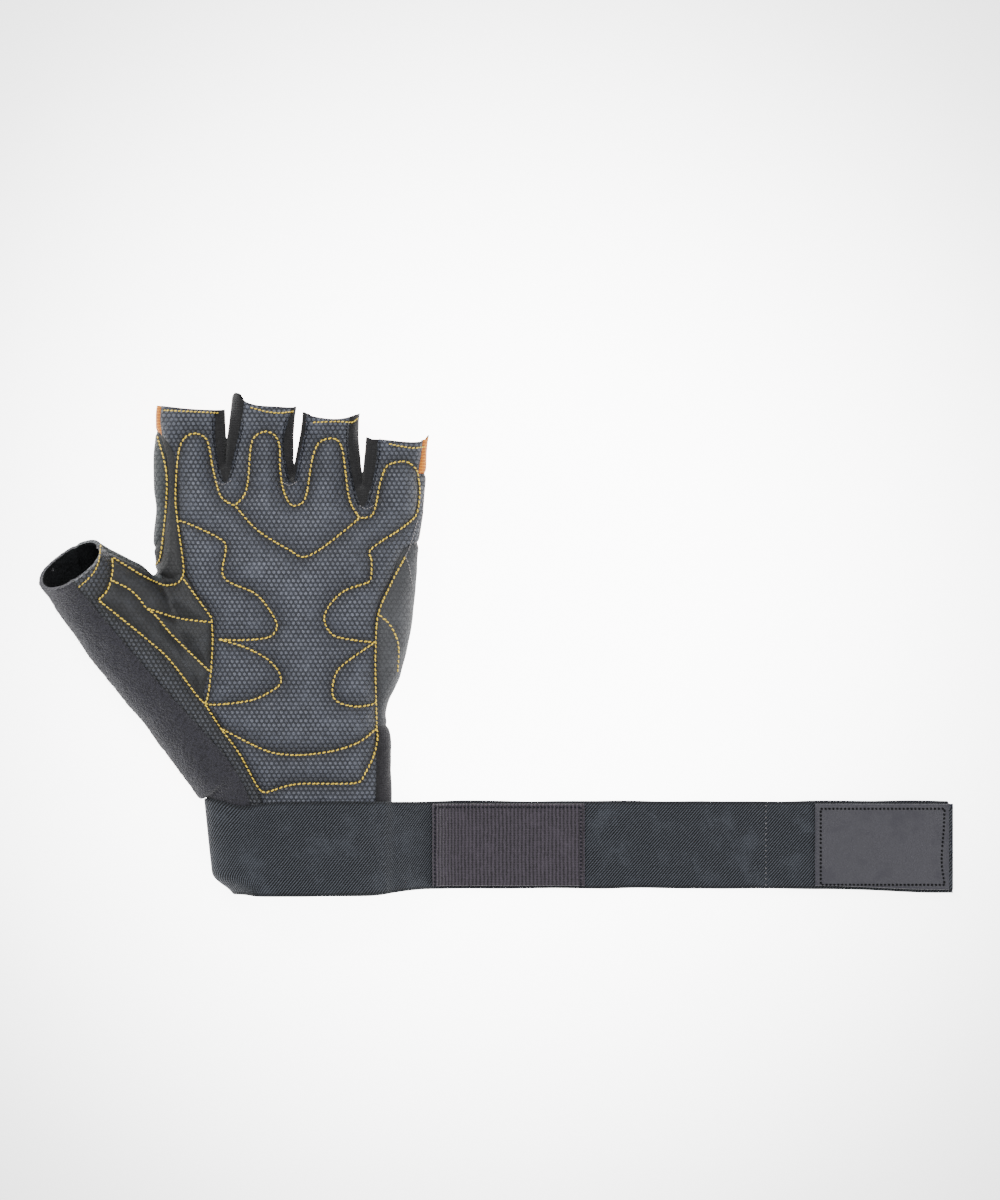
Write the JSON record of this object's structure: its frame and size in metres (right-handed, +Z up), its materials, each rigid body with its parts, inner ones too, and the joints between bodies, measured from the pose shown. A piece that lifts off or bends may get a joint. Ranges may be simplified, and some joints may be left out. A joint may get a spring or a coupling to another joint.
{
  "type": "weightlifting glove",
  "caption": "Fingerless weightlifting glove for the left hand, palm up, with hollow finger stubs and thumb and an open elastic wrist strap.",
  "frame": {"origin": "middle of the strap's stretch under the wrist, on the surface that the glove lies on", "axes": "+X across the palm towards the strap's free end, +Y from the wrist to the fingers, +Z up, out of the palm"},
  "size_m": [0.3729, 0.2052, 0.0427],
  "materials": {
    "palm_leather": "hex-embossed charcoal leather",
    "thumb_leather": "charcoal leather, smooth near the thumb",
    "gusset_leather": "smooth dark leather",
    "side_leather": "smooth dark leather",
    "guard_leather": "charcoal leather",
    "upper_fabric": "orange ribbed stretch fabric",
    "lower_fabric": "orange ribbed stretch fabric",
    "band_fabric": "dark navy neoprene",
    "fourchette_fabric": "dark stretch fabric",
    "terry": "purple-charcoal terry",
    "binding_fabric": "dark woven binding",
    "tab_fabric": "dark elastic fabric",
    "strap_elastic": "blue-black twill elastic",
    "loop_pile": "purplish black loop pile",
    "end_synthetic": "mid grey synthetic leather",
    "hook_tape": "dark hook tape"
  },
  "bodies": {
    "root": {"palm_panel": "palm_leather", "thumb_palm_panel": "thumb_leather", "crotch_gusset": "gusset_leather", "side_strip_little": "side_leather", "index_guard": "guard_leather", "back_upper_panel": "upper_fabric", "back_lower_panel": "lower_fabric", "back_band": "band_fabric", "fourchette_index_middle": "fourchette_fabric", "fourchette_middle_ring": "fourchette_fabric", "fourchette_ring_little": "fourchette_fabric", "thumb_terry_panel": "terry", "wrist_binding": "binding_fabric", "wrist_tab": "tab_fabric", "wrist_strap": "strap_elastic", "loop_patch": "loop_pile", "end_patch": "end_synthetic", "end_hook": "hook_tape"}
  },
  "joints": []
}
